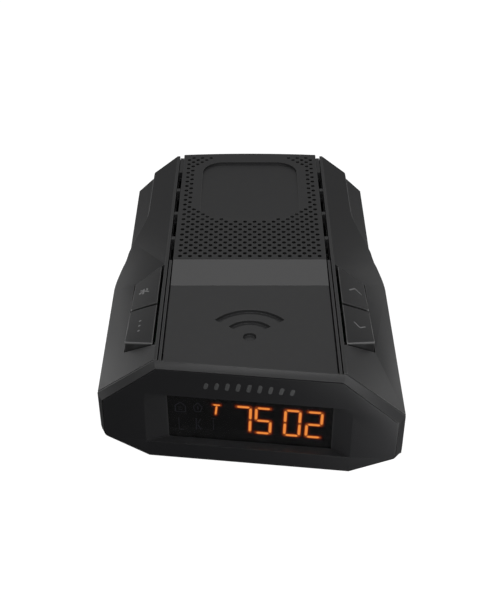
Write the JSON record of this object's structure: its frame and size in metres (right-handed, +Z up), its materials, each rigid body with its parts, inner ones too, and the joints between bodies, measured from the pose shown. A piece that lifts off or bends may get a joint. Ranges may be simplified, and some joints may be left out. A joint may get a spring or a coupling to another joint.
{
  "type": "radar detector",
  "caption": "Dashboard radar detector with a turned amber display, perforated speaker cover, four side keys, and power and data sockets.",
  "frame": {"origin": "centre of the bounding box at the underside of the rubber feet", "axes": "+X to the user's right, -Y towards the user (display end), +Z up"},
  "size_m": [0.0714, 0.106, 0.029],
  "materials": {
    "shell": "fine spark-eroded texture, charcoal",
    "cover": "fine texture, near black",
    "strip": "satin, mid grey",
    "bezel": "smooth satin black",
    "window": "dark tinted, clear",
    "display": "black panel",
    "amber": "lit orange strokes",
    "key": "soft-touch charcoal",
    "board": "solder-masked laminate",
    "ribbon": "polyimide film",
    "black_part": "moulded black",
    "tin": "tinned",
    "screw": "zinc plated",
    "dark_screw": "black oxide",
    "aluminium_can": "drawn can",
    "zinc": "die-cast, satin",
    "ceramic": "sintered ceramic",
    "cone": "pressed paper cone",
    "foam": "closed-cell foam",
    "rear_window": "deep red infrared window",
    "socket": "moulded black",
    "rubber": "matte",
    "label": "plain silver-grey foil"
  },
  "bodies": {
    "detector": {"upper_housing": "shell", "lower_housing": "shell", "left_vent_rail": "shell", "right_vent_rail": "shell", "front_bezel": "bezel", "display_window": "window", "display_panel": "display", "display_digits": "amber", "display_board": "board", "display_ribbon": "ribbon", "front_cover": "cover", "accent_strip": "strip", "speaker_grille": "cover", "mute_switch": "tin", "menu_switch": "tin", "up_switch": "tin", "down_switch": "tin", "left_key_board": "board", "right_key_board": "board", "key_board_screws": "screw", "key_ribbons": "ribbon", "main_board": "board", "main_board_screws": "screw", "processor_chips": "black_part", "capacitors": "aluminium_can", "backup_cell": "tin", "cell_holder": "black_part", "horn_antenna": "zinc", "mixer_shield": "tin", "gps_antenna": "ceramic", "gps_receiver": "board", "speaker_frame": "black_part", "speaker_cone": "cone", "speaker_magnet": "tin", "speaker_gasket": "foam", "rear_lens": "rear_window", "laser_sensor": "black_part", "laser_board": "board", "power_socket": "socket", "data_port": "tin", "housing_screws": "dark_screw", "rubber_feet": "rubber", "rating_plate": "label"},
    "mute_key_body": {"mute_key": "key", "mute_plunger": "black_part"},
    "menu_key_body": {"menu_key": "key", "menu_plunger": "black_part"},
    "up_key_body": {"up_key": "key", "up_plunger": "black_part"},
    "down_key_body": {"down_key": "key", "down_plunger": "black_part"}
  },
  "joints": [
    {"name": "mute_press", "type": "slide", "parent": "detector", "child": "mute_key_body", "axis": [0, 0, -1], "range_m": [0, 0.0005], "stiffness_N_per_m": 1500},
    {"name": "menu_press", "type": "slide", "parent": "detector", "child": "menu_key_body", "axis": [0, 0, -1], "range_m": [0, 0.0005], "stiffness_N_per_m": 1500},
    {"name": "up_press", "type": "slide", "parent": "detector", "child": "up_key_body", "axis": [0, 0, -1], "range_m": [0, 0.0005], "stiffness_N_per_m": 1500},
    {"name": "down_press", "type": "slide", "parent": "detector", "child": "down_key_body", "axis": [0, 0, -1], "range_m": [0, 0.0005], "stiffness_N_per_m": 1500}
  ]
}
